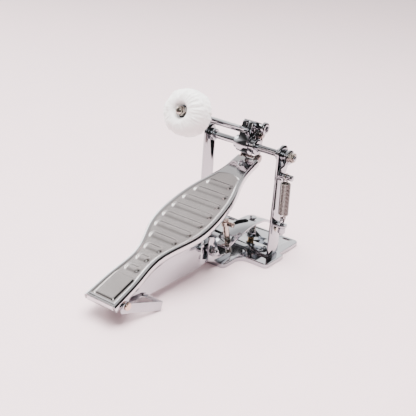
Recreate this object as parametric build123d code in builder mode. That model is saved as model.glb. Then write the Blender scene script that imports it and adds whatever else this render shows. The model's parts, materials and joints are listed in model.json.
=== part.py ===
from build123d import *
import os
from math import cos, radians, sin

# Bass drum pedal, millimetres. X runs across the pedal (+X at the player's right),
# Y runs forward to the drum and Z up. The origin lies on the floor, straight under
# the middle of the axle, on the plane that halves the footboard.

# ---- driving dimensions ----
axle_z = 138.0            # height of the axle over the floor
axle_r = 4.4
post_x = 52.5             # inner face of each post
strip = 3.0               # thickness of the bent post frame
clearance = 0.05          # radial clearance of every running fit
gap = 0.3                 # side clearance between bodies

foot_length = 280.0       # footboard, heel edge to toe edge, along its slope
foot_slope = 19.3         # degrees
foot_heel_y = -259.0
foot_heel_z = 27.0
foot_sheet = 1.5
foot_flange = 8.0
foot_half_widths = [(0.0, 22.7), (0.15, 20.6), (0.3, 18.9), (0.45, 34.5),
                    (0.6, 37.7), (0.75, 30.4), (0.9, 17.6), (1.0, 16.0)]
rib_count = 10

heel_y, heel_z = -241.5, 22.0     # heel pin
pin_r = 2.4

base_top = 6.0
base_sheet = 2.0

rod_rise = 21.8           # degrees of the beater rod over the level, at rest
rod_r = 4.0
rod_offset = 15.8         # rod axis to axle axis
rod_end = 158.5           # hub to the far tip of the rod
head_r = 24.5

crank_r = 20.0            # link pin on the hub
crank_rise = 33.0         # degrees over the level, on the drum side
toe_y, toe_z = 13.0, 118.0        # link pin at the toe
eye_shift = -1.4          # the lower eye of the link sits loose on its pin
eye_bore = 4.1

clamp_x = 12.0            # the hoop clamp sits right of the middle
clamp_pivot_y, clamp_pivot_z = 12.0, 33.0

stud_y, stud_z = -8.5, 116.0      # spring stud on the lever
spring_x, spring_y = 66.0, -6.5   # lower spring eye
eye_z = 58.0
hook_z = 62.0
spring_r = 6.0
wire_r = 0.85

sides = (-1, 1)
os.makedirs("parts", exist_ok=True)


def finish(piece, name):
    """Names a finished piece and writes its STEP file."""
    piece.part.label = name
    export_step(piece.part, f"parts/{name}.step")


def strap(first, first_r, second, second_r):
    """Sketches the hull of two circles, each given by its centre and its radius."""
    ends = [Circle(radius, mode=Mode.PRIVATE).moved(Location((*centre, 0)))
            for centre, radius in ((first, first_r), (second, second_r))]
    make_hull([edge for end in ends for edge in end.edges()])


# ---- frames of reference ----
across = (1, 0, 0)
rod_c, rod_s = cos(radians(rod_rise)), sin(radians(rod_rise))
# side view of the hub: local x forward along the rod, local y square to it, normal +X
hub_side = Plane(origin=(0, 0, axle_z), x_dir=(0, rod_c, -rod_s), z_dir=across)
# the rod's own frame: local z runs back along the rod
rod_plane = Plane(origin=(0, rod_offset * rod_s, axle_z + rod_offset * rod_c),
                  x_dir=across, z_dir=(0, -rod_c, rod_s))
foot_c, foot_s = cos(radians(foot_slope)), sin(radians(foot_slope))
# footboard top: local x along the slope to the toe, local y to the player's left
foot_top = Plane(origin=(0, foot_heel_y, foot_heel_z), x_dir=(0, foot_c, foot_s),
                 z_dir=(0, -foot_s, foot_c))
crank_y = crank_r * cos(radians(crank_rise))
crank_z = axle_z + crank_r * sin(radians(crank_rise))

# ---- base plate: a pressed steel pan with downturned edges ----
spine_half, spine_back = 26.5, -68.0
bar_half, bar_back, bar_front = 65.0, -32.0, 7.0
plate_half, plate_front = 58.8, 55.0
slot_x, slot_y, slot_length, slot_r = 44.0, 47.5, 11.0, 2.2
stud_foot_r = 3.05

with BuildPart() as base_plate:
    with BuildSketch() as base_outline:
        with Locations((0, (spine_back + bar_front) / 2)):
            Rectangle(2 * spine_half, bar_front - spine_back)
        with Locations((0, (bar_back + bar_front) / 2)):
            Rectangle(2 * bar_half, bar_front - bar_back)
        with Locations((0, (bar_back + plate_front) / 2)):
            Rectangle(2 * plate_half, plate_front - bar_back)
        inner = base_outline.vertices().filter_by(
            lambda v: abs(v.Y - bar_back) < 0.1 and abs(abs(v.X) - spine_half) < 0.1)
        fillet(inner, radius=12)
        outer = base_outline.vertices().filter_by(
            lambda v: abs(v.X) > spine_half - 0.1 and min(
                abs(v.Y - y) for y in (spine_back, bar_back, plate_front)) < 0.1
            and not (abs(v.Y - bar_back) < 0.1 and abs(v.X) < bar_half - 1))
        fillet(outer, radius=6)
    extrude(amount=base_top)
    top_rim = base_plate.faces().sort_by(Axis.Z)[-1].edges()
    fillet(top_rim, radius=1.5)
    with BuildSketch():
        add(base_outline.sketch)
        offset(amount=-base_sheet)
    extrude(amount=base_top - base_sheet, mode=Mode.SUBTRACT)
    with BuildSketch(Plane.XY.offset(base_top)):
        with Locations(*[(side * slot_x, slot_y) for side in sides]):
            SlotOverall(slot_length, 2 * slot_r)
        with Locations((clamp_x, clamp_pivot_y)):
            Circle(stud_foot_r)
    extrude(amount=-base_top, mode=Mode.SUBTRACT)
finish(base_plate, "base_plate")

# ---- cross frame: one strip bent into a U, with the axle bushes near its tops ----
post_y, post_half = -3.0, 11.0
post_top = 151.5
frame_z = base_top
bush_r = 6.0
with BuildPart() as cross_frame:
    with BuildSketch(Plane.XY.offset(frame_z)):
        with Locations((0, post_y)):
            Rectangle(2 * (post_x + strip), 2 * post_half)
    extrude(amount=strip)
    for side in sides:
        with BuildSketch(Plane.YZ.offset(side * post_x)):
            with Locations((post_y, (frame_z + post_top - post_half) / 2)):
                Rectangle(2 * post_half, post_top - post_half - frame_z)
            with Locations((post_y, post_top - post_half)):
                Circle(post_half)
        extrude(amount=side * strip)
    corners = cross_frame.edges().filter_by(Axis.Y).group_by(Axis.Z)[0]
    fillet(corners, radius=strip - 0.2)
    bends = cross_frame.edges().filter_by(Axis.Y).filter_by(
        lambda e: abs(e.center().Z - frame_z - strip) < 0.1)
    fillet(bends, radius=1.5)
    with BuildSketch(Plane.YZ.offset(-post_x - 2 * strip)):
        with Locations((0, axle_z)):
            Circle(bush_r)
    extrude(amount=2 * post_x + 4 * strip, mode=Mode.SUBTRACT)
    # the fulcrum stud of the hoop clamp passes beside the web's front edge
    with Locations((clamp_x, clamp_pivot_y, frame_z + strip)):
        Hole(radius=7, depth=2 * strip)
finish(cross_frame, "cross_frame")

rivet_places = [(x, post_y + y) for x in (-40, 40) for y in (-5, 5)]
with BuildPart() as frame_rivets:
    with BuildSketch(Plane.XY.offset(frame_z + strip)):
        with Locations(*rivet_places):
            Circle(2.9)
    extrude(amount=1.1)
    fillet(frame_rivets.edges().group_by(Axis.Z)[-1], radius=0.8)
finish(frame_rivets, "frame_rivets")

# ---- axle bushes, flanged, one pressed into each post ----
flange_r, flange_t = 8.0, 1.2
for side, name in ((-1, "axle_bush_left"), (1, "axle_bush_right")):
    with BuildPart() as bush:
        with BuildSketch(Plane.YZ.offset(side * post_x)):
            with Locations((0, axle_z)):
                Circle(bush_r)
        extrude(amount=side * strip)
        with BuildSketch(Plane.YZ.offset(side * (post_x + strip))):
            with Locations((0, axle_z)):
                Circle(flange_r)
        extrude(amount=side * flange_t)
        with BuildSketch(Plane.YZ):
            with Locations((0, axle_z)):
                Circle(axle_r + clearance)
        extrude(amount=side * 80, mode=Mode.SUBTRACT)
    finish(bush, name)

# ---- axle with a threaded end for the lever nut ----
lever_in, lever_out = 57.4, 61.2          # inner faces of the lever's two flats
lever_t = 2.4
axle_left, axle_right = -61.0, lever_out + lever_t + 7.5
thread_r = 3.0
with BuildPart() as axle:
    with BuildSketch(Plane.YZ.offset(axle_left)):
        with Locations((0, axle_z)):
            Circle(axle_r)
    extrude(amount=lever_out - axle_left)
    with BuildSketch(Plane.YZ.offset(lever_out)):
        with Locations((0, axle_z)):
            Circle(thread_r)
    extrude(amount=axle_right - lever_out)
    chamfer(axle.faces().sort_by(Axis.X)[-1].edges(), length=0.8)
    chamfer(axle.faces().sort_by(Axis.X)[0].edges(), length=0.8)
finish(axle, "axle")

# ---- collars that keep the axle central: one inside each post, one under the lever ----
collar_r = 7.5
collars = [(-post_x + gap, 6.0), (post_x - gap - 6.0, 6.0)]
with BuildPart() as axle_collars:
    for x, width in collars:
        with BuildSketch(Plane.YZ.offset(x)):
            with Locations((0, axle_z)):
                Circle(collar_r)
                Circle(axle_r, mode=Mode.SUBTRACT)
        extrude(amount=width)
    chamfer(axle_collars.edges().filter_by(GeomType.CIRCLE).filter_by(
        lambda e: abs(e.radius - collar_r) < 0.01), length=0.6)
finish(axle_collars, "axle_collars")

with BuildPart() as lever_spacer:
    with BuildSketch(Plane.YZ.offset(post_x + strip + flange_t + gap)):
        with Locations((0, axle_z)):
            Circle(7.0)
            Circle(axle_r, mode=Mode.SUBTRACT)
    extrude(amount=lever_out - post_x - strip - flange_t - gap)
finish(lever_spacer, "lever_spacer")

with BuildPart() as axle_end_clip:
    with BuildSketch(Plane.YZ.offset(-post_x - strip - flange_t - gap - 1.4)):
        with Locations((0, axle_z)):
            Circle(7.0)
            Circle(axle_r, mode=Mode.SUBTRACT)
    extrude(amount=1.4)
finish(axle_end_clip, "axle_end_clip")

# ---- hub: a casting clamped on the axle, with the rod bore and the crank ears ----
hub_half, hub_r = 8.5, 11.5
boss_half, boss_r = 14.0, 8.5
tower_top, tower_half = 29.5, 11.0
ear_r = 6.5
screw_n, screw_s = 24.5, 2.0              # clamp screw over the rod
with BuildPart() as beater_hub:
    with BuildSketch(Plane.YZ.offset(-hub_half)):
        with Locations((0, axle_z)):
            Circle(hub_r)
        strap((0, axle_z), ear_r + 3, (crank_y, crank_z), ear_r)
    extrude(amount=2 * hub_half)
    with BuildSketch(hub_side.offset(-hub_half + 1)):
        with Locations((0, tower_top / 2)):
            Rectangle(2 * tower_half, tower_top)
    extrude(amount=2 * hub_half - 2)
    tower_edges = beater_hub.edges().filter_by(Axis.X).filter_by(
        lambda e: abs(hub_side.to_local_coords(e.center()).Y - tower_top) < 0.1)
    fillet(tower_edges, radius=4)
    with BuildSketch(Plane.YZ.offset(-boss_half)):
        with Locations((0, axle_z)):
            Circle(boss_r)
    extrude(amount=2 * boss_half)
    with BuildSketch(rod_plane.offset(-30)):
        Circle(rod_r + clearance)
    extrude(amount=60, mode=Mode.SUBTRACT)
    with BuildSketch(hub_side.offset(-1)):
        with Locations((0, (rod_offset + tower_top) / 2 + 1)):
            Rectangle(2 * tower_half + 4, tower_top - rod_offset + 2)
    extrude(amount=2, mode=Mode.SUBTRACT)
    with BuildSketch(hub_side.offset(-30)):
        with Locations((screw_s, screw_n)):
            Circle(2.5 + clearance)
    extrude(amount=60, mode=Mode.SUBTRACT)
    with BuildSketch(Plane.YZ.offset(-30)):
        with Locations((0, axle_z)):
            Circle(axle_r)
        with Locations((crank_y, crank_z)):
            Circle(pin_r)
    extrude(amount=60, mode=Mode.SUBTRACT)
finish(beater_hub, "beater_hub")

with BuildPart() as hub_collar:
    with BuildSketch(Plane.YZ.offset(boss_half)):
        with Locations((0, axle_z)):
            Circle(10)
            Circle(axle_r, mode=Mode.SUBTRACT)
    extrude(amount=3.2)
    chamfer(hub_collar.edges().filter_by(GeomType.CIRCLE).filter_by(
        lambda e: e.radius > 9), length=0.6)
finish(hub_collar, "hub_collar")

# ---- thumb screw that squeezes the hub's two ears on the rod ----
knob_in, knob_out, knob_r = 15.0, 20.0, 7.5
with BuildPart() as thumb_screw:
    with BuildSketch(hub_side.offset(-hub_half)):
        with Locations((screw_s, screw_n)):
            Circle(2.5)
    extrude(amount=hub_half + knob_in)
    with BuildSketch(hub_side.offset(knob_in)):
        with Locations((screw_s, screw_n)):
            Circle(knob_r)
    extrude(amount=knob_out - knob_in)
    with BuildSketch(hub_side.offset(hub_half - 1 + gap)):
        with Locations((screw_s, screw_n)):
            Circle(4.2)
    extrude(amount=knob_in - hub_half + 1 - gap)
    chamfer(thumb_screw.edges().filter_by(GeomType.CIRCLE).filter_by(
        lambda e: abs(e.radius - knob_r) < 0.01), length=0.8)
    with BuildSketch(hub_side.offset(knob_out)):
        with Locations((screw_s, screw_n)):
            Circle(3.2)
    extrude(amount=-2, mode=Mode.SUBTRACT)
finish(thumb_screw, "thumb_screw")

# ---- beater: rod, felt-and-wool head, washers and the end nut ----
head_start, head_stop = rod_end - 34.5, rod_end - 3.5
nut_start = head_stop - 4.6
with BuildPart() as beater_rod:
    with BuildSketch(rod_plane.offset(-11)):
        Circle(rod_r)
    extrude(amount=head_start + 8 + 11)
    with BuildSketch(rod_plane.offset(head_start + 8)):
        Circle(thread_r)
    extrude(amount=nut_start + 6 - head_start - 8)
finish(beater_rod, "beater_rod")

with BuildPart() as beater_head:
    with BuildSketch(rod_plane.offset(head_start)):
        Circle(head_r)
    extrude(amount=head_stop - head_start)
    rims = beater_head.edges().filter_by(GeomType.CIRCLE)
    fillet(rims, radius=11)
    with BuildSketch(rod_plane.offset(head_start - 1)):
        Circle(rod_r + clearance)
    extrude(amount=9, mode=Mode.SUBTRACT)
    with BuildSketch(rod_plane.offset(head_start)):
        Circle(thread_r)
    extrude(amount=40, mode=Mode.SUBTRACT)
    with BuildSketch(rod_plane.offset(nut_start - 1.2)):
        Circle(8.2)
    extrude(amount=12, mode=Mode.SUBTRACT)
finish(beater_head, "beater_head")

with BuildPart() as head_washers:
    with BuildSketch(rod_plane.offset(nut_start - 1.2)):
        Circle(7.6)
        Circle(thread_r, mode=Mode.SUBTRACT)
    extrude(amount=1.2)
    with BuildSketch(rod_plane.offset(head_start - 1.2)):
        Circle(8.0)
        Circle(rod_r, mode=Mode.SUBTRACT)
    extrude(amount=1.2)
finish(head_washers, "head_washers")

with BuildPart() as beater_nut:
    with BuildSketch(rod_plane.offset(nut_start)):
        RegularPolygon(radius=5.0, side_count=6, major_radius=False)
    extrude(amount=5.0)
    with BuildSketch(rod_plane.offset(nut_start + 5.0)):
        Circle(4.2)
    extrude(amount=rod_end - nut_start - 5.0)
    dome = beater_nut.edges().filter_by(GeomType.CIRCLE).sort_by(Axis.Y)[0]
    fillet(dome, radius=2.6)
    with BuildSketch(rod_plane.offset(nut_start)):
        Circle(thread_r)
    extrude(amount=6.0, mode=Mode.SUBTRACT)
finish(beater_nut, "beater_nut")

# ---- link plates from the crank ears to the toe, with their pins ----
link_in, link_t = hub_half + 0.4, 2.0
link_half, link_upper_r, link_lower_r = 4.2, 5.6, 6.6
eye_y = toe_y + eye_shift
with BuildPart() as link_plates:
    for side in sides:
        with BuildSketch(Plane.YZ.offset(side * link_in)):
            strap((crank_y, crank_z), link_half, (eye_y, toe_z), link_half)
            with Locations((crank_y, crank_z)):
                Circle(link_upper_r)
            with Locations((eye_y, toe_z)):
                Circle(link_lower_r)
            with Locations((crank_y, crank_z)):
                Circle(pin_r + clearance, mode=Mode.SUBTRACT)
            with Locations((eye_y, toe_z)):
                Circle(eye_bore, mode=Mode.SUBTRACT)
        extrude(amount=side * link_t)
finish(link_plates, "link_plates")

pin_head_r, pin_head_t = 4.6, 1.8
with BuildPart() as crank_pins:
    for side in sides:
        with BuildSketch(Plane.YZ.offset(side * 4.6)):
            with Locations((crank_y, crank_z)):
                Circle(pin_r)
        extrude(amount=side * (link_in + link_t + gap - 4.6))
        with BuildSketch(Plane.YZ.offset(side * (link_in + link_t + gap))):
            with Locations((crank_y, crank_z)):
                Circle(pin_head_r)
        extrude(amount=side * pin_head_t)
finish(crank_pins, "crank_pins")

toe_pin_head_r = 5.4
with BuildPart() as toe_pin:
    toe_pin_half = link_in + link_t + gap
    with BuildSketch(Plane.YZ.offset(-toe_pin_half)):
        with Locations((toe_y, toe_z)):
            Circle(pin_r)
    extrude(amount=2 * toe_pin_half)
    for side in sides:
        with BuildSketch(Plane.YZ.offset(side * toe_pin_half)):
            with Locations((toe_y, toe_z)):
                Circle(toe_pin_head_r)
        extrude(amount=side * pin_head_t)
finish(toe_pin, "toe_pin")

# ---- footboard: pressed steel with turned-down edges and raised ribs ----
lug_in, lug_t = 20.4, 1.6
rib_start, rib_step, rib_width, rib_height = 56.0, 18.2, 9.0, 1.2
toe_screw_x, toe_screw_r = foot_length - 14, 2.0


def half_width(along):
    """Half width of the footboard at a share of its length, read off the outline."""
    for (t0, w0), (t1, w1) in zip(foot_half_widths, foot_half_widths[1:]):
        if along <= t1:
            return w0 + (w1 - w0) * (along - t0) / (t1 - t0)
    return foot_half_widths[-1][1]


with BuildPart() as footboard:
    # a pan with a heel wall and two side walls, open at the toe
    for inset, operation in ((0, Mode.ADD), (foot_sheet, Mode.SUBTRACT)):
        edge = [(t * foot_length, w - inset) for t, w in foot_half_widths]
        edge[0] = (inset, edge[0][1])
        edge[-1] = (foot_length + inset, edge[-1][1])
        with BuildSketch(foot_top.offset(-inset)):
            with BuildLine():
                left = Spline(*edge, tangents=((1, -0.05), (1, -0.1)))
                right = Spline(*[(x, -y) for x, y in edge],
                               tangents=((1, 0.05), (1, 0.1)))
                Line(left @ 0, right @ 0)
                Line(left @ 1, right @ 1)
            make_face()
        extrude(amount=-foot_flange, mode=operation)
    with BuildSketch(foot_top):
        with Locations((25.5, 0)):
            RectangleRounded(38, 29, 3)
        for index in range(rib_count):
            x = rib_start + index * rib_step
            length = 2 * (half_width(x / foot_length) - 10)
            with Locations(Location((x, 0), 90)):
                SlotOverall(length, rib_width)
    extrude(amount=rib_height)
    # heel lugs for the hinge pin
    for side in sides:
        with BuildSketch(Plane.YZ.offset(side * lug_in)):
            with Locations((heel_y, heel_z)):
                Circle(6.0)
            with Locations(Location((heel_y - 1.5, heel_z + 4.6), foot_slope)):
                Rectangle(12, 9.2)
        extrude(amount=side * lug_t)
    with BuildSketch(Plane.YZ.offset(-40)):
        with Locations((heel_y, heel_z)):
            Circle(pin_r + clearance)
    extrude(amount=80, mode=Mode.SUBTRACT)
    with BuildSketch(foot_top):
        with Locations((toe_screw_x, 0)):
            Circle(toe_screw_r)
    extrude(amount=-foot_sheet, mode=Mode.SUBTRACT)
    # the link's lower eyes reach into two notches in the toe edge
    with BuildSketch(foot_top.offset(rib_height)):
        with Locations(*[(foot_length, side * (link_in + link_t / 2)) for side in sides]):
            Rectangle(7, link_t + 1.4)
    extrude(amount=-20, mode=Mode.SUBTRACT)
finish(footboard, "footboard")

# ---- toe clip under the footboard, held by a screw, with ears for the toe pin ----
clip_in, clip_t = 6.0, 1.8
with BuildPart() as toe_clip:
    with BuildSketch(foot_top.offset(-foot_sheet)):
        with Locations((foot_length - 12, 0)):
            Rectangle(22, 2 * (clip_in + clip_t))
    extrude(amount=-clip_t)
    for side in sides:
        with BuildSketch(Plane.YZ.offset(side * clip_in)):
            with Locations((toe_y, toe_z)):
                Circle(5.0)
            with Locations(Location((toe_y - 9.5, toe_z - 2.6), foot_slope)):
                Rectangle(20, 6.6)
            with Locations((toe_y, toe_z)):
                Circle(pin_r, mode=Mode.SUBTRACT)
        extrude(amount=side * clip_t)
    with BuildSketch(foot_top.offset(-foot_sheet)):
        with Locations((foot_length - 12, 0)):
            Rectangle(60, 40)
    extrude(amount=foot_sheet + 10, mode=Mode.SUBTRACT)
    with BuildSketch(foot_top):
        with Locations((toe_screw_x, 0)):
            Circle(toe_screw_r)
    extrude(amount=-10, mode=Mode.SUBTRACT)
finish(toe_clip, "toe_clip")

with BuildPart() as toe_screw:
    with BuildSketch(foot_top):
        with Locations((toe_screw_x, 0)):
            Circle(4.4)
    extrude(amount=2.4)
    fillet(toe_screw.faces().sort_by(Axis.Z)[-1].edges(), radius=1.6)
    with BuildSketch(foot_top):
        with Locations((toe_screw_x, 0)):
            Circle(toe_screw_r)
    extrude(amount=-foot_sheet - clip_t - 1.5)
finish(toe_screw, "toe_screw")

# ---- linkage arm: a deep channel that ties the heel to the base ----
arm_half, arm_t = 16.2, 1.6
tongue_half = 13.5
arm_front, tongue_front = -103.0, -72.0
arm_low_rear, arm_low_front = 14.6, 11.4   # underside at the heel and at the wide part's end
arm_top_rear, arm_top_front = 29.0, 62.0
tongue_top = 38.0
bolt_y, bolt_z = -84.4, 28.0
bolt_r = 3.0
rear_ear_r = 6.5
bracket_half, bracket_t = 18.8, 1.8
with BuildPart() as linkage_arm:
    with BuildSketch(Plane.YZ.offset(-arm_half)):
        with BuildLine():
            Polyline((heel_y, arm_low_rear), (arm_front, arm_low_front),
                     (arm_front, arm_top_front), (heel_y + 4, arm_top_rear),
                     (heel_y, heel_z + rear_ear_r), close=True)
        make_face()
        with Locations((heel_y, heel_z)):
            Circle(rear_ear_r)
    extrude(amount=2 * arm_half)
    with BuildSketch(Plane.YZ.offset(-tongue_half)):
        with BuildLine():
            Polyline((arm_front - 4, arm_low_front), (tongue_front, arm_low_front),
                     (tongue_front, tongue_top), (arm_front - 4, tongue_top), close=True)
        make_face()
    extrude(amount=2 * tongue_half)
    for half, start, stop in ((arm_half, heel_y - 10, arm_front),
                              (tongue_half, arm_front - 10, tongue_front + 1)):
        with BuildSketch(Plane.YZ.offset(-half + arm_t)):
            with BuildLine():
                Polyline((start, arm_low_rear + arm_t), (stop, arm_low_front + arm_t),
                         (stop, 90), (start, 90), close=True)
            make_face()
        extrude(amount=2 * (half - arm_t), mode=Mode.SUBTRACT)
    # the web stops short of the heel
    with Locations((0, heel_y - 10, arm_low_rear)):
        Box(2 * (arm_half - arm_t), 36, 8, mode=Mode.SUBTRACT)
    with BuildSketch(Plane.YZ.offset(-arm_half - 5)):
        with Locations((heel_y, heel_z)):
            Circle(pin_r)
        with Locations((bolt_y, bolt_z)):
            Circle(bolt_r)
    extrude(amount=2 * arm_half + 10, mode=Mode.SUBTRACT)
finish(linkage_arm, "linkage_arm")

ear_outline = [(-44, base_top), (-66, base_top), (-90, 16.3), (-91.5, 43.0),
               (-89.5, 46.8), (-80.5, 44.0), (-77, 40.5), (-72, 26.0), (-64.3, 14.5),
               (-44, base_top + 5)]
with BuildPart() as arm_bracket:
    with BuildSketch(Plane.YZ.offset(-bracket_half)):
        with BuildLine():
            Polyline(*ear_outline, close=True)
        make_face()
    extrude(amount=2 * bracket_half)
    with Locations((0, -60, base_top + bracket_t + 25)):
        Box(2 * (bracket_half - bracket_t), 90, 50, mode=Mode.SUBTRACT)
    with BuildSketch(Plane.YZ.offset(-bracket_half - 5)):
        with Locations((bolt_y, bolt_z)):
            Circle(bolt_r)
    extrude(amount=2 * bracket_half + 10, mode=Mode.SUBTRACT)
finish(arm_bracket, "arm_bracket")

with BuildPart() as bracket_rivets:
    with BuildSketch(Plane.XY.offset(base_top + bracket_t)):
        with Locations((-9, -53), (2, -53)):
            Circle(2.9)
    extrude(amount=1.1)
    fillet(bracket_rivets.edges().group_by(Axis.Z)[-1], radius=0.8)
finish(bracket_rivets, "bracket_rivets")

with BuildPart() as arm_bolt:
    with BuildSketch(Plane.YZ.offset(-bracket_half)):
        with Locations((bolt_y, bolt_z)):
            Circle(bolt_r)
    extrude(amount=2 * bracket_half + 5)
    with BuildSketch(Plane.YZ.offset(-bracket_half)):
        with Locations((bolt_y, bolt_z)):
            RegularPolygon(radius=5.0, side_count=6, major_radius=False)
    extrude(amount=-4)
finish(arm_bolt, "arm_bolt")

with BuildPart() as arm_nut:
    with BuildSketch(Plane.YZ.offset(bracket_half)):
        with Locations((bolt_y, bolt_z)):
            RegularPolygon(radius=5.0, side_count=6, major_radius=False)
    extrude(amount=5)
    with BuildSketch(Plane.YZ.offset(bracket_half + 5)):
        with Locations((bolt_y, bolt_z)):
            Circle(4.4)
    extrude(amount=4)
    fillet(arm_nut.faces().sort_by(Axis.X)[-1].edges(), radius=3.2)
    with BuildSketch(Plane.YZ.offset(bracket_half)):
        with Locations((bolt_y, bolt_z)):
            Circle(bolt_r)
    extrude(amount=5, mode=Mode.SUBTRACT)
finish(arm_nut, "arm_nut")

# ---- heel pin and the heel foot, a stirrup that swings on it ----
foot_tilt = 16.0
leg_in, leg_t = 23.0, 1.8
heel_pin_half = leg_in + leg_t + gap
with BuildPart() as heel_pin:
    with BuildSketch(Plane.YZ.offset(-heel_pin_half)):
        with Locations((heel_y, heel_z)):
            Circle(pin_r)
    extrude(amount=2 * heel_pin_half)
    for side in sides:
        with BuildSketch(Plane.YZ.offset(side * heel_pin_half)):
            with Locations((heel_y, heel_z)):
                Circle(4.6)
        extrude(amount=side * 1.8)
    fillet(heel_pin.edges().filter_by(GeomType.CIRCLE).filter_by(
        lambda e: abs(abs(e.center().X) - heel_pin_half - 1.8) < 0.1), radius=1.2)
finish(heel_pin, "heel_pin")

tilt_c, tilt_s = cos(radians(foot_tilt)), sin(radians(foot_tilt))
# local x across, local y forward along the stirrup, local z up from its web
stirrup = Plane(origin=(0, heel_y, heel_z), x_dir=across, z_dir=(0, tilt_s, tilt_c))
stirrup_front, flare = 50.0, 9.0
web_drop = (heel_z - stirrup_front * tilt_s) / tilt_c      # its front edge meets the floor
wall_top = 2.9
web_start = 41.0           # the web lies across the walls' front ends, just under the arm
with BuildPart() as heel_foot:
    with BuildSketch(stirrup.offset(-web_drop)):
        with BuildLine():
            Polyline((-leg_in - leg_t, -8), (leg_in + leg_t, -8),
                     (leg_in + leg_t, 6), (leg_in + leg_t + flare, stirrup_front),
                     (-leg_in - leg_t - flare, stirrup_front), (-leg_in - leg_t, 6),
                     close=True)
        make_face()
    extrude(amount=web_drop + wall_top)
    with BuildSketch(stirrup.offset(wall_top + 1)):
        with BuildLine():
            Polyline((-leg_in, -10), (leg_in, -10), (leg_in, 6),
                     (leg_in + flare + 0.4, stirrup_front + 2),
                     (-leg_in - flare - 0.4, stirrup_front + 2), (-leg_in, 6),
                     close=True)
        make_face()
        with Locations((0, web_start + 20)):
            Rectangle(100, 40, mode=Mode.SUBTRACT)
    extrude(amount=-web_drop - wall_top - 5, mode=Mode.SUBTRACT)
    with BuildSketch(stirrup.offset(wall_top - leg_t)):
        with BuildLine():
            Polyline((-leg_in, -10), (leg_in, -10), (leg_in, 6),
                     (leg_in + flare + 0.4, stirrup_front + 2),
                     (-leg_in - flare - 0.4, stirrup_front + 2), (-leg_in, 6),
                     close=True)
        make_face()
    extrude(amount=-web_drop - wall_top - 5, mode=Mode.SUBTRACT)
    ear_corners = heel_foot.edges().filter_by(Axis.X).filter_by(
        lambda e: stirrup.to_local_coords(e.center()).Y < -7.9)
    fillet(ear_corners, radius=3.5)
    with BuildSketch(Plane.YZ.offset(-60)):
        with Locations((heel_y, heel_z)):
            Circle(pin_r + clearance)
    extrude(amount=120, mode=Mode.SUBTRACT)
finish(heel_foot, "heel_foot")

# ---- spring lever, joggled, with its nut and the spring stud ----
lever_r, lever_end_r = 8.5, 6.5
with BuildPart() as spring_lever:
    with BuildSketch(Plane.YZ.offset(lever_in)):
        strap((0, axle_z), lever_r, (stud_y, stud_z), lever_end_r)
    extrude(amount=lever_out + lever_t - lever_in)
    # the joggle: the upper flat stands out, the lower flat lies by the post
    with BuildSketch(Plane.XZ.offset(-40)):
        with BuildLine():
            Polyline((lever_in - 1, 160), (lever_in - 1, 126), (lever_in, 126),
                     (lever_out, 130.5), (lever_out, 160), close=True)
        make_face()
        with BuildLine():
            Polyline((lever_out + lever_t + 1, 100), (lever_in + lever_t, 100),
                     (lever_in + lever_t, 124.6), (lever_out + lever_t, 129.1),
                     (lever_out + lever_t + 1, 129.1), close=True)
        make_face()
    extrude(amount=80, mode=Mode.SUBTRACT)
    with BuildSketch(Plane.YZ.offset(40)):
        with Locations((0, axle_z)):
            Circle(thread_r)
        with Locations((stud_y, stud_z)):
            Circle(2.0)
    extrude(amount=40, mode=Mode.SUBTRACT)
finish(spring_lever, "spring_lever")

lever_face = lever_out + lever_t
with BuildPart() as lever_nut:
    with BuildSketch(Plane.YZ.offset(lever_face)):
        with Locations((0, axle_z)):
            RegularPolygon(radius=5.5, side_count=6, major_radius=False)
            Circle(thread_r, mode=Mode.SUBTRACT)
    extrude(amount=5.5)
finish(lever_nut, "lever_nut")

stud_face = lever_in + lever_t
with BuildPart() as spring_stud:
    for start, stop, radius in ((lever_in, stud_face, 2.0), (stud_face, 64.4, 3.4),
                                (64.4, 67.6, 2.5), (67.6, 74.5, 3.6)):
        with BuildSketch(Plane.YZ.offset(start)):
            with Locations((stud_y, stud_z)):
                Circle(radius)
        extrude(amount=stop - start)
finish(spring_stud, "spring_stud")

# ---- spring bracket on the right post, with the eye bolt and its nut ----
tab_low, tab_high = 50.0, 53.0
post_face = post_x + strip
with BuildPart() as spring_bracket:
    with BuildSketch(Plane.YZ.offset(post_face)):
        with Locations((spring_y, (tab_high + 38) / 2)):
            Rectangle(12, tab_high - 38)
    extrude(amount=2.2)
    with BuildSketch(Plane.XY.offset(tab_low)):
        with Locations(((post_face + spring_x + 6) / 2, spring_y)):
            Rectangle(spring_x + 6 - post_face, 12)
    extrude(amount=tab_high - tab_low)
    fillet(spring_bracket.edges().filter_by(Axis.Z).sort_by(Axis.X)[-2:], radius=5)
    with Locations((spring_x, spring_y, tab_high)):
        Hole(radius=2.5 + clearance, depth=10)
finish(spring_bracket, "spring_bracket")

with BuildPart() as bracket_rivet:
    with BuildSketch(Plane.YZ.offset(post_face + 2.2)):
        with Locations((spring_y, 43.5)):
            Circle(2.8)
    extrude(amount=1.6)
    fillet(bracket_rivet.faces().sort_by(Axis.X)[-1].edges(), radius=1.0)
finish(bracket_rivet, "bracket_rivet")

with BuildPart() as adjuster_bolt:
    with BuildSketch(Plane.XY.offset(39)):
        with Locations((spring_x, spring_y)):
            Circle(2.5)
    extrude(amount=eye_z - 3.6 - 39)
    with BuildSketch(Plane.XY.offset(eye_z)):
        with Locations((spring_x, spring_y + 3.7)):
            Circle(1.3)
    revolve(axis=Axis((spring_x, spring_y, eye_z), (1, 0, 0)), revolution_arc=360)
finish(adjuster_bolt, "adjuster_bolt")

with BuildPart() as adjuster_nut:
    with BuildSketch(Plane.XY.offset(41.5)):
        with Locations((spring_x, spring_y)):
            Circle(4.8)
            Circle(2.5 + clearance, mode=Mode.SUBTRACT)
    extrude(amount=tab_low - gap - 41.5)
    chamfer(adjuster_nut.edges().filter_by(GeomType.CIRCLE).filter_by(
        lambda e: e.radius > 4), length=0.8)
finish(adjuster_nut, "adjuster_nut")

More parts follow.
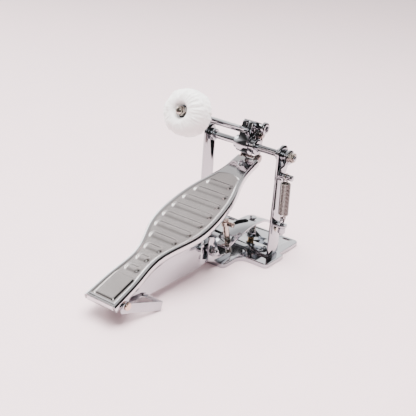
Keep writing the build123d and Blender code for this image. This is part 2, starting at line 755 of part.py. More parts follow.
# ---- return spring, drawn as a sleeve of the coil's outer size, with its end hooks ----
lean = Vector(0, stud_y - spring_y, stud_z - hook_z)
hook_r = 3.4
top_hook_r = 3.9
coil_low = hook_r + wire_r + 0.2
top_turns_low, top_turns_high = lean.length - 11.2, lean.length - 8.2
coil_high = top_turns_low - clearance
spring_plane = Plane(origin=(spring_x, spring_y, hook_z), x_dir=across,
                     z_dir=lean.normalized())
hook_axis = Axis((spring_x, spring_y, hook_z), (0, 1, 0))
with BuildPart() as return_spring:
    with BuildSketch(spring_plane.offset(coil_low)):
        Circle(spring_r)
        Circle(spring_r - 2 * wire_r, mode=Mode.SUBTRACT)
    extrude(amount=coil_high - coil_low)
    with BuildSketch(spring_plane.offset(coil_low - 0.4)):
        Rectangle(2 * spring_r - 1, 2 * wire_r)
    extrude(amount=2 * wire_r)
    with BuildSketch(Plane.XY.offset(hook_z)):
        with Locations((spring_x + hook_r, spring_y)):
            Circle(wire_r)
    revolve(axis=hook_axis)
finish(return_spring, "return_spring")

with BuildPart() as spring_top_turns:
    with BuildSketch(spring_plane.offset(top_turns_low)):
        Circle(spring_r)
        Circle(spring_r - 2 * wire_r, mode=Mode.SUBTRACT)
    extrude(amount=top_turns_high - top_turns_low)
finish(spring_top_turns, "spring_top_turns")

with BuildPart() as spring_hook:
    with BuildSketch(Plane.XY.offset(stud_z)):
        with Locations((spring_x, stud_y + top_hook_r)):
            Circle(wire_r)
    revolve(axis=Axis((spring_x, stud_y, stud_z), (1, 0, 0)))
finish(spring_hook, "spring_hook")

# ---- hoop clamp: arched jaw, fulcrum stud with its spring, and the clamp screw ----
jaw_half, jaw_t = 12.0, 2.5
jaw_points = [(-57.0, 24.0), (-40.0, 30.2), (-20.0, 35.2), (0.0, 37.2),
              (20.0, 35.8), (36.0, 30.5), (50.0, 21.0)]
screw_lean = 16.6
screw_foot_y, screw_foot_z = -37.4, base_top + 1.5
screw_plane = Plane(origin=(clamp_x, screw_foot_y, screw_foot_z), x_dir=across,
                    z_dir=(0, -sin(radians(screw_lean)), cos(radians(screw_lean))))
screw_r, screw_length = 3.8, 50.0
with BuildPart() as clamp_jaw:
    with BuildSketch(Plane.YZ.offset(clamp_x - jaw_half)):
        with BuildLine():
            crest = Spline(*jaw_points)
            under = Spline(*[(y, z - jaw_t) for y, z in jaw_points])
            Line(crest @ 0, under @ 0)
            Line(crest @ 1, under @ 1)
        make_face()
    extrude(amount=2 * jaw_half)
    with BuildSketch(screw_plane):
        Circle(screw_r + 1.1)
    extrude(amount=60, mode=Mode.SUBTRACT)
    with Locations((clamp_x, clamp_pivot_y, 50)):
        Hole(radius=3.6, depth=40)
finish(clamp_jaw, "clamp_jaw")

stud_head_z = 38.4
sleeve_height, fulcrum_nut_height = 6.5, 6.0
with BuildPart() as fulcrum_stud:
    with BuildSketch(Plane.XY.offset(base_top - base_sheet)):
        with Locations((clamp_x, clamp_pivot_y)):
            Circle(stud_foot_r)
    extrude(amount=stud_head_z - base_top + base_sheet)
    with BuildSketch(Plane.XY.offset(stud_head_z)):
        with Locations((clamp_x, clamp_pivot_y)):
            Circle(5.0)
    extrude(amount=1.4)
    fillet(fulcrum_stud.faces().sort_by(Axis.Z)[-1].edges(), radius=1.1)
finish(fulcrum_stud, "fulcrum_stud")

with BuildPart() as fulcrum_sleeve:
    with BuildSketch(Plane.XY.offset(base_top)):
        with Locations((clamp_x, clamp_pivot_y)):
            Circle(3.9)
            Circle(stud_foot_r, mode=Mode.SUBTRACT)
    extrude(amount=sleeve_height)
finish(fulcrum_sleeve, "fulcrum_sleeve")

with BuildPart() as fulcrum_nut:
    with BuildSketch(Plane.XY.offset(base_top + sleeve_height)):
        with Locations((clamp_x, clamp_pivot_y)):
            RegularPolygon(radius=5.5, side_count=6, major_radius=False)
            Circle(stud_foot_r, mode=Mode.SUBTRACT)
    extrude(amount=fulcrum_nut_height)
finish(fulcrum_nut, "fulcrum_nut")

with BuildPart() as clamp_spring:
    with BuildSketch(Plane.XY.offset(base_top + sleeve_height + fulcrum_nut_height + 0.2)):
        with Locations((clamp_x, clamp_pivot_y)):
            Circle(5.2)
            Circle(3.8, mode=Mode.SUBTRACT)
    extrude(amount=26.2 - sleeve_height - fulcrum_nut_height)
finish(clamp_spring, "clamp_spring")

with BuildPart() as clamp_screw:
    with BuildSketch(screw_plane):
        Circle(screw_r)
    extrude(amount=screw_length - 7)
    with BuildSketch(screw_plane.offset(screw_length - 7)):
        Circle(3.0)
    extrude(amount=7)
    with BuildSketch(screw_plane.offset(screw_length)):
        Circle(3.8)
    extrude(amount=1.4)
finish(clamp_screw, "clamp_screw")

handle_half, handle_r = 13.0, 3.0
with BuildPart() as clamp_handle:
    with BuildSketch(screw_plane.offset(screw_length - 7 + gap)):
        Circle(5.2)
    extrude(amount=7 - 2 * gap)
    bar = Plane(origin=screw_plane.offset(screw_length - 3.5).origin, x_dir=(0, 1, 0),
                z_dir=across)
    with BuildSketch(bar.offset(-handle_half)):
        Circle(handle_r)
    extrude(amount=2 * handle_half)
    fillet(clamp_handle.edges().filter_by(GeomType.CIRCLE).filter_by(
        lambda e: abs(abs(e.center().X - clamp_x) - handle_half) < 0.1), radius=1.2)
    with BuildSketch(screw_plane.offset(screw_length - 20)):
        Circle(3.0 + clearance)
    extrude(amount=40, mode=Mode.SUBTRACT)
finish(clamp_handle, "clamp_handle")
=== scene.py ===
import json
from math import cos, pi, radians, sin

import bmesh
import bpy
import numpy as np
from mathutils import Matrix, Vector, noise


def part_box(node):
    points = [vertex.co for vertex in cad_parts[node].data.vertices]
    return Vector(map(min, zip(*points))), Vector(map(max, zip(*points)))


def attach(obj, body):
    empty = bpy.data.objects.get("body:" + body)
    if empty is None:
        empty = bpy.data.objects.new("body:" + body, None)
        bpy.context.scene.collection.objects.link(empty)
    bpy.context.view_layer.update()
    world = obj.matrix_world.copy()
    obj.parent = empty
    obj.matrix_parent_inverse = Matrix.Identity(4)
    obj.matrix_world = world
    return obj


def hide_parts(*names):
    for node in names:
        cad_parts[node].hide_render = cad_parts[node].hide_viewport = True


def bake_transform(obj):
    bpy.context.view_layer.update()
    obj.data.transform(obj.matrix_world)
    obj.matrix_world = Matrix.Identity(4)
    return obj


# A bass drum pedal. Metres; X across (+X the player's right), Y forward to the drum, Z up.
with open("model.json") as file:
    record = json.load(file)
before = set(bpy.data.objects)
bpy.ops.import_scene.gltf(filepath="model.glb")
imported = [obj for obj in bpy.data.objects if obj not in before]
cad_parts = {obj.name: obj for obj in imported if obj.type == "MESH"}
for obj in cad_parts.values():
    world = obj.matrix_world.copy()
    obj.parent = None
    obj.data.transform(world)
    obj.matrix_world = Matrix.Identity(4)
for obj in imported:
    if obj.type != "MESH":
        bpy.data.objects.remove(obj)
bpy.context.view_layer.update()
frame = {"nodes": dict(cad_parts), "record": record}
NODES = frame["nodes"]
MM = 0.001


def v(x, y, z):
    """A point given in millimetres."""
    return Vector((x, y, z)) * MM


def smooth(low, high, x):
    """Smooth step from 0 at low to 1 at high, for numbers or arrays."""
    t = np.clip((x - low) / (high - low), 0, 1)
    return t * t * (3 - 2 * t)


# ---- materials ----
def material(name, base, rough, metallic=1.0, rough_spread=0.06, bump=0.0, grain=400.0,
             stretch=(1, 1, 1), tone=0.06, smudge=18.0):
    """A procedural finish: smudged roughness, slight tone changes and a fine grain."""
    made = bpy.data.materials.new(name)
    made.use_nodes = True
    tree = made.node_tree
    shader = tree.nodes["Principled BSDF"]
    shader.inputs["Metallic"].default_value = metallic
    place = tree.nodes.new("ShaderNodeTexCoord")
    blot = tree.nodes.new("ShaderNodeTexNoise")
    blot.inputs["Scale"].default_value = smudge
    blot.inputs["Detail"].default_value = 5.0
    tree.links.new(place.outputs["Object"], blot.inputs["Vector"])
    spread = tree.nodes.new("ShaderNodeMapRange")
    spread.inputs["From Min"].default_value = 0.3
    spread.inputs["From Max"].default_value = 0.7
    spread.inputs["To Min"].default_value = max(rough - rough_spread, 0.02)
    spread.inputs["To Max"].default_value = rough + rough_spread
    tree.links.new(blot.outputs["Fac"], spread.inputs["Value"])
    tree.links.new(spread.outputs["Result"], shader.inputs["Roughness"])
    ramp = tree.nodes.new("ShaderNodeValToRGB")
    ramp.color_ramp.elements[0].position = 0.3
    ramp.color_ramp.elements[1].position = 0.7
    ramp.color_ramp.elements[0].color = (*[c * (1 - tone) for c in base], 1)
    ramp.color_ramp.elements[1].color = (*[min(c * (1 + tone), 1) for c in base], 1)
    tree.links.new(blot.outputs["Fac"], ramp.inputs["Fac"])
    tree.links.new(ramp.outputs["Color"], shader.inputs["Base Color"])
    if bump:
        mapping = tree.nodes.new("ShaderNodeMapping")
        mapping.inputs["Scale"].default_value = stretch
        fine = tree.nodes.new("ShaderNodeTexNoise")
        fine.inputs["Scale"].default_value = grain
        fine.inputs["Detail"].default_value = 3.0
        lift = tree.nodes.new("ShaderNodeBump")
        lift.inputs["Strength"].default_value = bump
        lift.inputs["Distance"].default_value = 0.0002
        tree.links.new(place.outputs["Object"], mapping.inputs["Vector"])
        tree.links.new(mapping.outputs["Vector"], fine.inputs["Vector"])
        tree.links.new(fine.outputs["Fac"], lift.inputs["Height"])
        tree.links.new(lift.outputs["Normal"], shader.inputs["Normal"])
    return made


FINISH = {
    "polished_chrome": material("chrome", (0.40, 0.41, 0.43), 0.06, rough_spread=0.03,
                                bump=0.03, grain=60),
    "warm_nickel": material("nickel", (0.44, 0.39, 0.34), 0.2, bump=0.05),
    "dark_steel": material("dark_steel", (0.30, 0.27, 0.25), 0.22, bump=0.08),
    "spring_wire": material("spring_wire", (0.34, 0.32, 0.30), 0.2, bump=0.08),
    "copper_rivet": material("copper", (0.62, 0.45, 0.36), 0.2, bump=0.05),
    "brass": material("brass", (0.42, 0.28, 0.14), 0.25, bump=0.05),
}
SLOT = {s["node"]: s["material_slot"] for s in frame["record"]["subparts"]}
BODY = {n: b for b, ns in frame["record"]["behaviour"]["bodies"].items() for n in ns}


# ---- mesh helpers ----
def piece(name, verts, faces, finish, body, replaced=(), smooth_shade=True):
    """Makes a mesh piece, gives it its finish and lets it ride on its body."""
    mesh = bpy.data.meshes.new(name)
    mesh.from_pydata([tuple(p) for p in verts], [], faces)
    mesh.validate()
    mesh.update()
    made = bpy.data.objects.new(name, mesh)
    bpy.context.scene.collection.objects.link(made)
    mesh.materials.append(finish)
    for face in mesh.polygons:
        face.use_smooth = smooth_shade
    settle(made, body, replaced)
    return made


def settle(made, body, replaced):
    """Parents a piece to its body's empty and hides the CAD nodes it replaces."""
    if body:
        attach(made, body)
    if replaced:
        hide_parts(*replaced)


def apply_modifiers(made):
    """Turns a piece's modifiers into plain mesh."""
    graph = bpy.context.evaluated_depsgraph_get()
    mesh = bpy.data.meshes.new_from_object(made.evaluated_get(graph))
    made.modifiers.clear()
    made.data = mesh


def softened(node, width, segments=2, angle=32):
    """A copy of a CAD node with its sharp edges rounded, as plated metal has them."""
    mesh = NODES[node].data.copy()
    form = bmesh.new()
    form.from_mesh(mesh)
    bmesh.ops.remove_doubles(form, verts=form.verts, dist=0.00001)
    bmesh.ops.dissolve_limit(form, angle_limit=radians(0.6), verts=form.verts,
                             edges=form.edges)
    form.to_mesh(mesh)
    form.free()
    made = bpy.data.objects.new(f"{node}_finished", mesh)
    bpy.context.scene.collection.objects.link(made)
    round_off = made.modifiers.new("round_off", "BEVEL")
    round_off.width = width * MM
    round_off.segments = segments
    round_off.limit_method = "ANGLE"
    round_off.angle_limit = radians(angle)
    round_off.harden_normals = False
    apply_modifiers(made)
    mesh = made.data
    mesh.materials.clear()
    mesh.materials.append(FINISH[SLOT[node]])
    mesh.shade_smooth()
    mesh.set_sharp_from_angle(angle=radians(angle))
    settle(made, BODY[node], [node])
    return made


def tube(points, radius, sides=12):
    """Verts and faces of a round wire along a line of points, with closed ends."""
    verts, faces = [], []
    side = Vector((0, 0, 1))
    for i, point in enumerate(points):
        ahead = (points[min(i + 1, len(points) - 1)] - points[max(i - 1, 0)]).normalized()
        side = side - ahead * side.dot(ahead)
        if side.length < 1e-4:
            side = ahead.orthogonal()
        side.normalize()
        third = ahead.cross(side)
        for k in range(sides):
            turn = 2 * pi * k / sides
            verts.append(point + (side * cos(turn) + third * sin(turn)) * radius)
    for i in range(len(points) - 1):
        for k in range(sides):
            a, b = i * sides + k, i * sides + (k + 1) % sides
            faces.append((a, b, b + sides, a + sides))
    faces.append(tuple(range(sides))[::-1])
    last = (len(points) - 1) * sides
    faces.append(tuple(range(last, last + sides)))
    return verts, faces


# ---- plain metal pieces: the CAD shapes with their edges rounded ----
EDGE = {"cross_frame": 0.5, "base_plate": 0.4, "linkage_arm": 0.5, "arm_bracket": 0.4,
        "arm_bolt": 0.5, "arm_nut": 0.5, "heel_pin": 0.3, "spring_bracket": 0.4,
        "adjuster_bolt": 0.2, "adjuster_nut": 0.3, "fulcrum_stud": 0.2,
        "fulcrum_sleeve": 0.3, "fulcrum_nut": 0.5, "axle": 0.2, "axle_collars": 0.2,
        "lever_spacer": 0.2, "axle_end_clip": 0.2, "beater_hub": 0.7, "hub_collar": 0.3,
        "spring_lever": 0.4, "lever_nut": 0.6, "spring_stud": 0.3, "crank_pins": 0.4,
        "beater_rod": 0.3, "head_washers": 0.3, "beater_nut": 0.5, "thumb_screw": 0.4,
        "link_plates": 0.4, "toe_clip": 0.3, "toe_screw": 0.2, "toe_pin": 0.4,
        "heel_foot": 0.4, "clamp_jaw": 0.5, "clamp_screw": 0.3, "clamp_handle": 0.3,
        "axle_bush_left": 0.2, "axle_bush_right": 0.2, "frame_rivets": 0.2,
        "bracket_rivets": 0.2, "bracket_rivet": 0.2}
for node, width in EDGE.items():
    softened(node, width)

# ---- footboard: pressed sheet with a satin ribbed panel inside a polished rim ----
LENGTH, SHEET, FLANGE, BEND = 280.0, 1.3, 8.0, 3.0
SHARES = np.array([0.0, 0.15, 0.3, 0.45, 0.6, 0.75, 0.9, 1.0])
HALF = np.array([22.7, 20.6, 18.9, 34.5, 37.7, 30.4, 17.6, 16.0])
NOTCH_START, NOTCH_IN, NOTCH_OUT = 276.5, 8.2, 11.6   # the link's eyes reach in here
SLOPE = radians(19.3)
HEEL = v(0, -259, 27)
ALONG = Vector((0, cos(SLOPE), sin(SLOPE)))
UPWARD = Vector((0, -sin(SLOPE), cos(SLOPE)))
RIM = 5.2
PAD_MIDDLE, PAD_REACH, PAD_HALF, PAD_CORNER, PAD_RISE = 25.5, 19, 14.5, 3.5, 1.7
RIB_COUNT, RIB_FIRST, RIB_STEP = 10, 56, 18.2
RIB_HALF, RIB_MARGIN, RIB_RISE = 5.8, 8.0, 1.7


def cubic(xs, ys, first, last, at):
    """Cubic spline through the points with the given end slopes, read at each place."""
    n = len(xs)
    step = np.diff(xs)
    left = np.zeros((n, n))
    right = np.zeros(n)
    left[0, 0] = left[-1, -1] = 1
    right[0], right[-1] = first, last
    for i in range(1, n - 1):
        left[i, i - 1] = 1 / step[i - 1]
        left[i, i] = 2 * (1 / step[i - 1] + 1 / step[i])
        left[i, i + 1] = 1 / step[i]
        right[i] = 3 * ((ys[i] - ys[i - 1]) / step[i - 1] ** 2
                        + (ys[i + 1] - ys[i]) / step[i] ** 2)
    slope = np.linalg.solve(left, right)
    i = np.clip(np.searchsorted(xs, at) - 1, 0, n - 2)
    t = (at - xs[i]) / step[i]
    return ((2 * t ** 3 - 3 * t ** 2 + 1) * ys[i] + (t ** 3 - 2 * t ** 2 + t) * step[i] * slope[i]
            + (3 * t ** 2 - 2 * t ** 3) * ys[i + 1] + (t ** 3 - t ** 2) * step[i] * slope[i + 1])


def half_width(s):
    return cubic(SHARES * LENGTH, HALF, -0.05, -0.1, s)


def panel_depth(s, y):
    """Distance inside the satin panel's edge, negative outside it."""
    side = half_width(s) - np.abs(y) - RIM
    toe = (243 - s) - 0.02 * y ** 2
    return np.minimum(np.minimum(side, s - 5.0), toe)


def press(s, y):
    """Height of the pressed panel: a shallow well, a heel pad and ten cross ribs."""
    height = -0.7 * smooth(-0.6, 1.4, panel_depth(s, y))
    pad = PAD_CORNER - np.hypot(
        np.maximum(np.abs(s - PAD_MIDDLE) - (PAD_REACH - PAD_CORNER), 0),
        np.maximum(np.abs(y) - (PAD_HALF - PAD_CORNER), 0))
    height += PAD_RISE * smooth(0, 2.4, pad)
    for index in range(RIB_COUNT):
        centre = RIB_FIRST + RIB_STEP * index
        reach = half_width(centre) - RIB_MARGIN
        rib = RIB_HALF - np.hypot(np.maximum(np.abs(y) - (reach - RIB_HALF), 0), s - centre)
        height += RIB_RISE * smooth(0, 4.2, rib)
    return height


def board_point(s, y, h):
    return HEEL + (ALONG * s + UPWARD * h) * MM + Vector((-y * MM, 0, 0))


ROWS, COLUMNS = 351, 105
BEND_TURNS = np.radians(np.linspace(15, 90, 6))
SIDE_ROWS = len(BEND_TURNS) + 2     # mesh lines in each turned-down side
LINE = COLUMNS + 2 * SIDE_ROWS


def board_line(s, across):
    """One line of points across the board, from flange to flange, with their depths."""
    w = half_width(s)
    flat = across * (w - BEND)
    ys = list(flat)
    hs = list(press(np.full(len(flat), s), flat))
    for turn in BEND_TURNS:
        ys.append(w - BEND + BEND * sin(turn))
        hs.append(-BEND + BEND * cos(turn))
    ys += [w] * 2
    hs += [-BEND - 2.5, -FLANGE]
    ys = [-y for y in ys[:COLUMNS - 1:-1]] + ys
    hs = hs[:COLUMNS - 1:-1] + hs
    return ([board_point(s, y, h) for y, h in zip(ys, hs)],
            list(panel_depth(np.full(len(ys), s), np.array(ys))))


def heel_edge(verts, faces, depth, across):
    """Turns the heel edge down too, with a notch at each corner."""
    first, last = SIDE_ROWS + 3, SIDE_ROWS + COLUMNS - 3
    w = half_width(0.0)
    columns = [across[k - SIDE_ROWS] * (w - BEND) for k in range(first, last)]
    before = list(range(first, last))
    for s, h in [(-BEND * sin(turn), -BEND + BEND * cos(turn)) for turn in BEND_TURNS] + [
            (-BEND, -BEND - 2.5), (-BEND, -FLANGE + 0.3)]:
        row = []
        for y in columns:
            row.append(len(verts))
            verts.append(board_point(s + BEND * 0.9, y, h))
            depth.append(-5.0)
        faces += [(row[k], row[k + 1], before[k + 1], before[k])
                  for k in range(len(row) - 1)]
        before = row


def footboard():
    rows = np.linspace(0, LENGTH, ROWS)
    across = np.linspace(-1, 1, COLUMNS)
    verts, depth, faces = [], [], []
    for s in rows:
        points, depths = board_line(s, across)
        verts += points
        depth += depths
    for i in range(ROWS - 1):
        for k in range(LINE - 1):
            y = abs(verts[i * LINE + k].x + verts[i * LINE + k + 1].x) / 2 / MM
            if rows[i] < NOTCH_START or not NOTCH_IN < y < NOTCH_OUT:
                faces.append((i * LINE + k, i * LINE + k + 1,
                              (i + 1) * LINE + k + 1, (i + 1) * LINE + k))
    heel_edge(verts, faces, depth, across)
    made = piece("footboard_sheet", verts, faces, panel_finish(), None)
    satin = made.data.attributes.new("satin", "FLOAT", "POINT")
    satin.data.foreach_set("value", smooth(-0.2, 0.5, np.array(depth)).astype(np.float32))
    sheet = made.modifiers.new("sheet", "SOLIDIFY")
    sheet.thickness = SHEET * MM
    sheet.offset = 1.0
    apply_modifiers(made)
    for face in made.data.polygons:
        face.use_smooth = True
    settle(made, "footboard", ["footboard"])


def panel_finish():
    """Satin steel where the panel is, polished chrome round it."""
    made = material("satin_panel", (0.47, 0.44, 0.43), 0.24, rough_spread=0.04, bump=0.25,
                    grain=900, stretch=(0.15, 1, 1), tone=0.05)
    tree = made.node_tree
    shader = tree.nodes["Principled BSDF"]
    mask = tree.nodes.new("ShaderNodeAttribute")
    mask.attribute_name = "satin"
    for socket, bright in (("Base Color", (0.57, 0.565, 0.575, 1)), ("Roughness", 0.08)):
        old = shader.inputs[socket].links[0].from_socket
        mix = tree.nodes.new("ShaderNodeMix")
        mix.data_type = "RGBA" if socket == "Base Color" else "FLOAT"
        sockets = [s for s in mix.inputs if s.enabled]
        factor = sockets[0]
        tree.links.new(mask.outputs["Fac"], factor)
        sockets[1].default_value = bright
        tree.links.new(old, sockets[2])
        result = [s for s in mix.outputs if s.enabled][0]
        tree.links.new(result, shader.inputs[socket])
    return made


footboard()


PIN_Y, PIN_Z, PIN_R = -241.5, 22.0, 2.5
LUG_R, LUG_TOP, LUG_INNER, LUG_OUTER = 6.0, 7.6, 20.4, 22.0
LUG_STEPS = 48


def lug_reach(turn):
    """How far a lug's edge is from the pin: round below, square up to the board."""
    u, w = cos(turn - SLOPE), sin(turn - SLOPE)
    if w > 0.05:
        return max(LUG_R, min(LUG_TOP / w, LUG_R / max(abs(u), 1e-6)))
    return LUG_R


def heel_lugs():
    """The two ears under the heel that turn on the pin."""
    n = LUG_STEPS
    for name, side in (("heel_lug_left", -1), ("heel_lug_right", 1)):
        verts, faces = [], []
        for x in (LUG_INNER, LUG_OUTER):
            for outline in (lambda turn: PIN_R, lug_reach):
                for k in range(n):
                    turn = 2 * pi * k / n
                    reach = outline(turn)
                    verts.append(v(side * x, PIN_Y + reach * cos(turn),
                                   PIN_Z + reach * sin(turn)))
        for k in range(n):
            j = (k + 1) % n
            faces += [(k, j, n + j, n + k),
                      (2 * n + k, 3 * n + k, 3 * n + j, 2 * n + j),
                      (n + k, n + j, 3 * n + j, 3 * n + k),
                      (k, 2 * n + k, 2 * n + j, j)]
        if side < 0:
            faces = [f[::-1] for f in faces]
        piece(name, verts, faces, FINISH["polished_chrome"], "footboard",
              smooth_shade=False)


heel_lugs()

# ---- springs: real coils of wire ----
FOOT, STUD = Vector((66, -6.5, 62)), Vector((66, -8.5, 116))
COIL_LOW, COIL_TOP = 4.8, 8.2    # where the turns start over the eye and stop under the stud
WIRE, COIL, TURNS, TURN_STEPS = 0.9, 5.6, 23, 16
LOW_HOOK_R, TOP_HOOK_R = 3.4, 3.9


def return_spring():
    axis = (STUD - FOOT).normalized()
    side = Vector((1, 0, 0))
    depthwise = axis.cross(side)
    span = (STUD - FOOT).length
    low, high = COIL_LOW, span - COIL_TOP
    points = []
    # lower hook, round the eye bolt
    for k in range(22):
        turn = radians(-70 + 300 * k / 21)
        points.append(FOOT + side * (LOW_HOOK_R * sin(turn)) + axis * (-LOW_HOOK_R * cos(turn)))
    points.reverse()
    for k in range(TURNS * TURN_STEPS + 1):
        turn = 2 * pi * k / TURN_STEPS
        along = low + (high - low) * k / (TURNS * TURN_STEPS)
        points.append(FOOT + axis * along
                      + (side * cos(turn) + depthwise * sin(turn)) * COIL)
    verts, faces = tube([p * MM for p in points], WIRE * MM, 10)
    made = piece("return_coil", verts, faces, FINISH["spring_wire"], None)
    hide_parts("return_spring", "spring_top_turns")
    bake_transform(made)
    # upper hook, a ring in the stud's groove with a tail down to the last turn
    hook = [FOOT + axis * high + side * COIL, FOOT + axis * (high + 1.2) + side * 3.4,
            FOOT + axis * (high + 2.4) + side * 1.4]
    for k in range(26):
        turn = radians(-165 + 320 * k / 25)
        hook.append(STUD - Vector((0, 1, 0)) * (TOP_HOOK_R * sin(turn))
                    + axis * (TOP_HOOK_R * cos(turn)))
    verts, faces = tube([p * MM for p in hook], WIRE * MM, 10)
    piece("upper_hook", verts, faces, FINISH["spring_wire"], "axle", ["spring_hook"])


return_spring()


CLAMP_WIRE, CLAMP_TURNS, CLAMP_STEPS = 0.0006, 5, 20


def clamp_coil():
    low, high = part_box("clamp_spring")
    centre = (low + high) / 2
    radius = (high.x - low.x) / 2 - CLAMP_WIRE
    points = []
    for k in range(CLAMP_TURNS * CLAMP_STEPS + 1):
        turn = 2 * pi * k / CLAMP_STEPS
        share = k / (CLAMP_TURNS * CLAMP_STEPS)
        points.append(Vector((centre.x + radius * cos(turn), centre.y + radius * sin(turn),
                              low.z + CLAMP_WIRE + (high.z - low.z - 2 * CLAMP_WIRE) * share)))
    verts, faces = tube(points, CLAMP_WIRE, 8)
    piece("clamp_coil", verts, faces, FINISH["spring_wire"], "frame", ["clamp_spring"])


clamp_coil()

# ---- beater head: dense wool wound round a core, drawn in at the nut ----
RISE = radians(21.8)
ROD_BACK = Vector((0, -cos(RISE), sin(RISE)))
ROD_START = Vector((0, 15.8 * sin(RISE), 138 + 15.8 * cos(RISE)))
HEAD_START, HEAD_STOP, HEAD_R, HEAD_ROUND = 122.6, 156.2, 26.0, 12.2


def wool_finish():
    made = material("wool", (0.90, 0.88, 0.85), 0.95, metallic=0.0, rough_spread=0.04,
                    bump=0.9, grain=700, tone=0.04, smudge=120)
    shader = made.node_tree.nodes["Principled BSDF"]
    shader.inputs["Sheen Weight"].default_value = 0.6
    shader.inputs["Sheen Roughness"].default_value = 0.5
    shader.inputs["Subsurface Weight"].default_value = 0.25
    shader.inputs["Subsurface Radius"].default_value = (0.004, 0.004, 0.004)
    return made


AROUND, CORNER_STEPS = 240, 14
AXLE_SIDE_R = 4.2          # the hole in the wool where the rod goes in
# the dimple round the nut: radius, and depth under the outer face
DIMPLE = ((12.0, 0.1), (10.4, 0.6), (9.2, 2.0), (8.4, 4.0), (7.6, 5.8), (5.0, 6.6), (3.2, 6.7))


def head_profile():
    """Radius and place along the rod, from the hub side round to the nut."""
    inner = HEAD_R - HEAD_ROUND
    turns = [radians(90 * k / CORNER_STEPS) for k in range(CORNER_STEPS + 1)]
    profile = [(r, HEAD_START) for r in np.linspace(AXLE_SIDE_R, inner, 9)[:-1]]
    profile += [(inner + HEAD_ROUND * sin(a), HEAD_START + HEAD_ROUND * (1 - cos(a)))
                for a in turns]
    profile += [(HEAD_R, z) for z in np.linspace(HEAD_START + HEAD_ROUND,
                                                 HEAD_STOP - HEAD_ROUND, 10)[1:-1]]
    profile += [(inner + HEAD_ROUND * cos(a), HEAD_STOP - HEAD_ROUND * (1 - sin(a)))
                for a in turns]
    return profile + [(r, HEAD_STOP - drop) for r, drop in DIMPLE]


def beater_head():
    side = Vector((1, 0, 0))
    third = ROD_BACK.cross(side)
    middle = (HEAD_START + HEAD_STOP) / 2 - 0.4
    profile = head_profile()
    verts, faces = [], []
    for r, z in profile:
        for k in range(AROUND):
            a = 2 * pi * k / AROUND
            out = side * cos(a) + third * sin(a)
            p = ROD_START + ROD_BACK * z + out * r
            tuft = noise.fractal(p * 0.16, 0.8, 2.1, 4)
            strand = noise.noise(Vector((cos(a) * 9, sin(a) * 9, z * 0.05)))
            weight = min(1.0, max(r - 7.0, 0) / 6)
            lift = (1.1 * tuft + 0.9 * strand) * weight
            p += (out * 0.8 + ROD_BACK * (0.6 if z > middle else -0.6)) * lift
            verts.append(p * MM)
    for i in range(len(profile) - 1):
        for k in range(AROUND):
            j = (k + 1) % AROUND
            faces.append((i * AROUND + k, i * AROUND + j, (i + 1) * AROUND + j,
                          (i + 1) * AROUND + k))
    made = piece("beater_wool", verts, [f[::-1] for f in faces], wool_finish(), "beater",
                 ["beater_head"])


beater_head()

# ---- stage: floor, soft lights and dark cards for the chrome to reflect ----
def floor():
    mesh = bpy.data.meshes.new("floor")
    mesh.from_pydata([(-12, -12, -0.0002), (12, -12, -0.0002), (12, 12, -0.0002),
                      (-12, 12, -0.0002)], [], [(0, 1, 2, 3)])
    made = bpy.data.objects.new("floor", mesh)
    bpy.context.scene.collection.objects.link(made)
    paint = material("floor_paint", (0.84, 0.645, 0.67), 0.5, metallic=0.0, tone=0.01,
                     rough_spread=0.03)
    mesh.materials.append(paint)


def card(name, centre, size, facing, grey):
    """A plain card that only reflections see."""
    made_mesh = bpy.data.meshes.new(name)
    w, h = size
    made_mesh.from_pydata([(-w / 2, -h / 2, 0), (w / 2, -h / 2, 0), (w / 2, h / 2, 0),
                           (-w / 2, h / 2, 0)], [], [(0, 1, 2, 3)])
    made = bpy.data.objects.new(name, made_mesh)
    bpy.context.scene.collection.objects.link(made)
    turn = (Vector(facing) - Vector(centre)).to_track_quat("Z", "Y")
    made.matrix_world = Matrix.LocRotScale(Vector(centre), turn, None)
    paint = bpy.data.materials.new(name)
    paint.use_nodes = True
    tree = paint.node_tree
    tree.nodes.remove(tree.nodes["Principled BSDF"])
    glow = tree.nodes.new("ShaderNodeEmission")
    glow.inputs["Color"].default_value = (grey, grey, grey * 1.02, 1)
    tree.links.new(glow.outputs["Emission"], tree.nodes["Material Output"].inputs["Surface"])
    made_mesh.materials.append(paint)
    made.visible_camera = False
    made.visible_diffuse = False
    made.visible_shadow = False
    made.visible_transmission = False


def lamp(name, centre, size, power, aim=(0, -0.08, 0.06), glint=True):
    light = bpy.data.lights.new(name, "AREA")
    light.shape = "RECTANGLE"
    light.size, light.size_y = size
    light.energy = power
    made = bpy.data.objects.new(name, light)
    bpy.context.scene.collection.objects.link(made)
    turn = (Vector(centre) - Vector(aim)).to_track_quat("Z", "Y")
    made.matrix_world = Matrix.LocRotScale(Vector(centre), turn, None)
    made.visible_glossy = glint


floor()
lamp("overhead", (0.1, -0.2, 1.9), (1.6, 1.6), 165, glint=False)
lamp("left", (-1.7, 0.1, 1.0), (1.2, 1.2), 24)
lamp("front", (0.7, -1.8, 1.9), (1.6, 1.2), 26)
# These cards are seen only in reflections, so they are painted dark reflections in the chrome.
# The two lying on the floor put a painted dark floor into the reflections, where the real floor
# is pale.
card("dark_right", (1.1, 0.55, 0.75), (1.3, 1.0), (0, 0, 0.1), 0.02)
card("dark_front", (0.35, -1.25, 0.28), (0.7, 0.45), (0, 0, 0.1), 0.02)
card("dark_back", (-1.03, 1.22, 0.76), (0.46, 0.42), (0, 0, 0.1), 0.02)
card("reflected_dark_floor_right", (1.5, 0, 0.001), (2.4, 5.0), (1.5, 0, 1), 0.02)
card("reflected_dark_floor_front", (-0.9, -1.9, 0.002), (2.4, 2.4), (-0.9, -1.9, 1), 0.02)
card("dark_left", (-1.2, -0.1, 0.28), (0.9, 0.22), (0, 0, 0.1), 0.04)



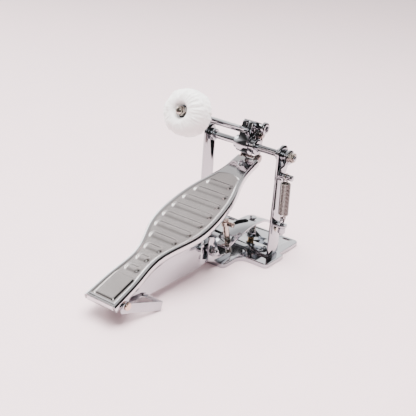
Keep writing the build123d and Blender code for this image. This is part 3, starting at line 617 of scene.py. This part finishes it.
def faded(tree, source, start, stop, low, high):
    """A smooth step of a value from low to high, as a socket."""
    node = tree.nodes.new("ShaderNodeMapRange")
    node.interpolation_type = "SMOOTHSTEP"
    for name, value in (("From Min", start), ("From Max", stop), ("To Min", low),
                        ("To Max", high)):
        node.inputs[name].default_value = value
    tree.links.new(source, node.inputs["Value"])
    return node.outputs["Result"]


def studio():
    """A white sweep behind and over the pedal, a darker room on the camera's side."""
    world = bpy.data.worlds.new("studio")
    bpy.context.scene.world = world
    world.use_nodes = True
    tree = world.node_tree
    ambient = tree.nodes["Background"]
    ambient.inputs["Color"].default_value = (1.0, 0.965, 0.965, 1)
    direction = tree.nodes.new("ShaderNodeTexCoord").outputs["Generated"]
    toward = tree.nodes.new("ShaderNodeVectorMath")
    toward.operation = "DOT_PRODUCT"
    toward.inputs[1].default_value = (-0.70, 0.62, 0.30)
    tree.links.new(direction, toward.inputs[0])
    height = tree.nodes.new("ShaderNodeSeparateXYZ")
    tree.links.new(direction, height.inputs["Vector"])
    both = tree.nodes.new("ShaderNodeMath")
    both.operation = "MULTIPLY"
    tree.links.new(faded(tree, toward.outputs["Value"], 0.05, 0.55, 0.08, 2.4),
                   both.inputs[0])
    # the ceiling is dimmer than the sweep
    tree.links.new(faded(tree, height.outputs["Z"], 0.5, 0.8, 1.0, 0.42), both.inputs[1])
    tree.links.new(both.outputs["Value"], ambient.inputs["Strength"])


studio()

# ---- camera: above the player's right, looking down the footboard ----
AZIMUTH, ELEVATION, ROLL = radians(35.13), radians(23.89), radians(4.15)
TARGET, DISTANCE = v(-18.81, -45.35, 60), 1054.33 * MM
back = Vector((sin(AZIMUTH) * cos(ELEVATION), -cos(AZIMUTH) * cos(ELEVATION), sin(ELEVATION)))
level = Vector((cos(AZIMUTH), sin(AZIMUTH), 0))
upright = back.cross(level)
right = level * cos(ROLL) + upright * sin(ROLL)
up = upright * cos(ROLL) - level * sin(ROLL)
view = bpy.data.cameras.new("camera")
SENSOR, FOCAL_SHARE = 36, 2.048    # focal length in picture widths
view.sensor_width = SENSOR
view.lens = FOCAL_SHARE * SENSOR
view.clip_end = 60
camera = bpy.data.objects.new("camera", view)
bpy.context.scene.collection.objects.link(camera)
camera.matrix_world = Matrix.Translation(TARGET + back * DISTANCE) @ Matrix(
    (right, up, back)).transposed().to_4x4()
bpy.context.scene.camera = camera
